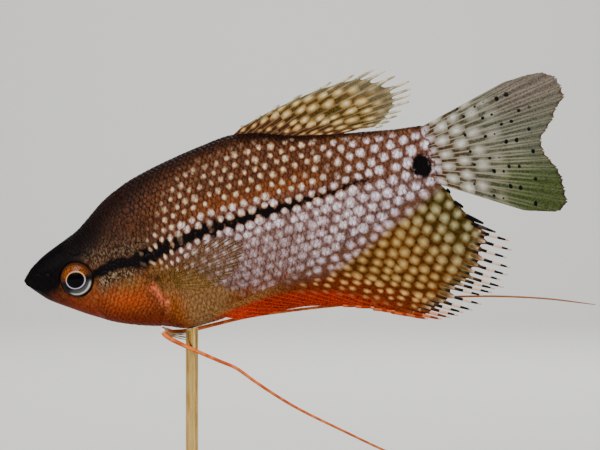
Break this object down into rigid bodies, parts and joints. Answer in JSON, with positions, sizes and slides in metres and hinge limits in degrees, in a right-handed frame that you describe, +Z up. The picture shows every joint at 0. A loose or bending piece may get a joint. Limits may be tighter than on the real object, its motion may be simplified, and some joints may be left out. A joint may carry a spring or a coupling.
{
  "type": "pearl gourami model on a display stand",
  "caption": "Life-size still model of a pearl gourami swimming nose-down, with long thread-like belly fins, held by a rod on an oval base.",
  "frame": {"origin": "centre of the base's underside", "axes": "+X from the snout to the tail, +Y to the fish's right side, +Z up"},
  "size_m": [0.1151, 0.048, 0.0955],
  "materials": {
    "brown_skin": "satin",
    "lilac_skin": "satin",
    "fin_membrane": "translucent",
    "feeler": "satin",
    "eye": "glossy",
    "walnut": "satin lacquer",
    "brass": "polished"
  },
  "bodies": {
    "root": {"head": "brown_skin", "trunk": "lilac_skin", "tail_stalk": "lilac_skin", "eye_left": "eye", "eye_right": "eye", "dorsal_fin": "fin_membrane", "anal_fin": "fin_membrane", "tail_fin": "fin_membrane", "pectoral_fin_left": "fin_membrane", "pectoral_fin_right": "fin_membrane", "feeler_left_root": "feeler", "feeler_left_middle": "feeler", "feeler_left_tip": "feeler", "feeler_right_root": "feeler", "feeler_right_middle": "feeler", "feeler_right_tip": "feeler", "stand_base": "walnut", "stand_rod": "brass", "stand_collar": "brass"}
  },
  "joints": []
}
